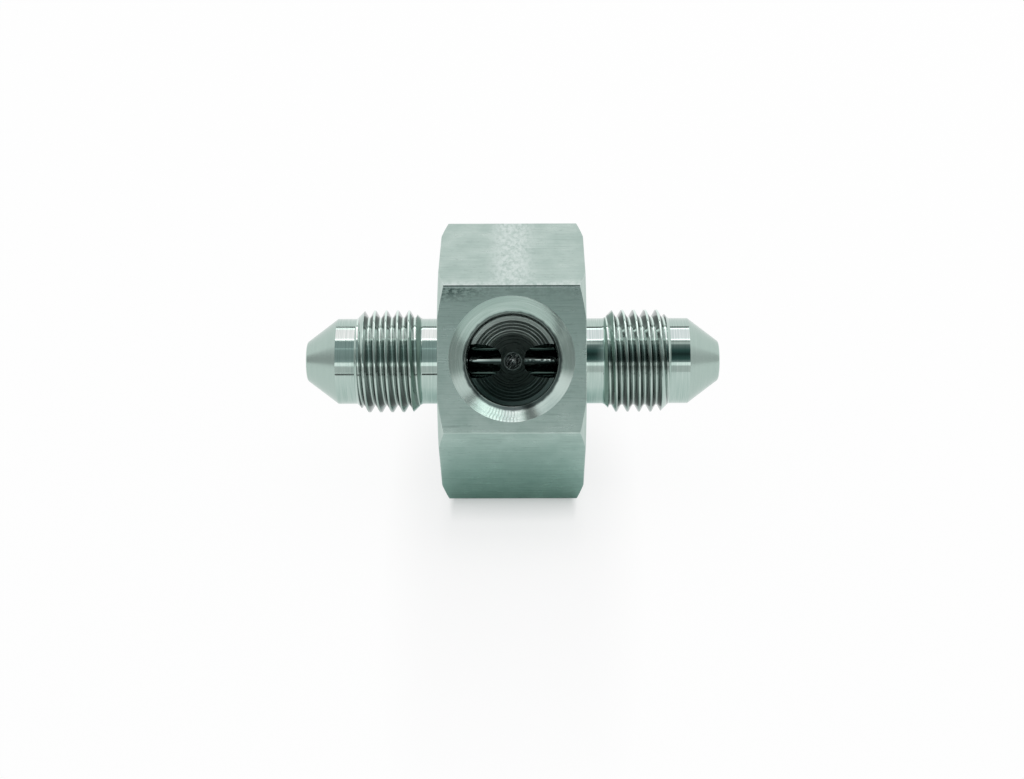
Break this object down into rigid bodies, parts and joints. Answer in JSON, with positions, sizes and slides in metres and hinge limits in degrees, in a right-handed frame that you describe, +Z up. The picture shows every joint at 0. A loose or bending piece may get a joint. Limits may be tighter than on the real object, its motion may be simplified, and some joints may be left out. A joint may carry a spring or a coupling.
{
  "type": "brake line adapter fitting",
  "caption": "Inline brake line adapter: flare ends on one axis and a hexagonal middle with a threaded side port for a switch or gauge.",
  "frame": {"origin": "crossing of the through bore's axis and the side port's axis, at the centre of the hexagon", "axes": "+X along the through bore, +Z up with the fitting resting on the hexagon flat below it; the side port leaves forward and up, 30 degrees above -Y"},
  "size_m": [0.0382, 0.0256, 0.0222],
  "materials": {
    "steel": "brushed flats, bright turned ends"
  },
  "bodies": {
    "root": {"fitting_body": "steel"}
  },
  "joints": []
}
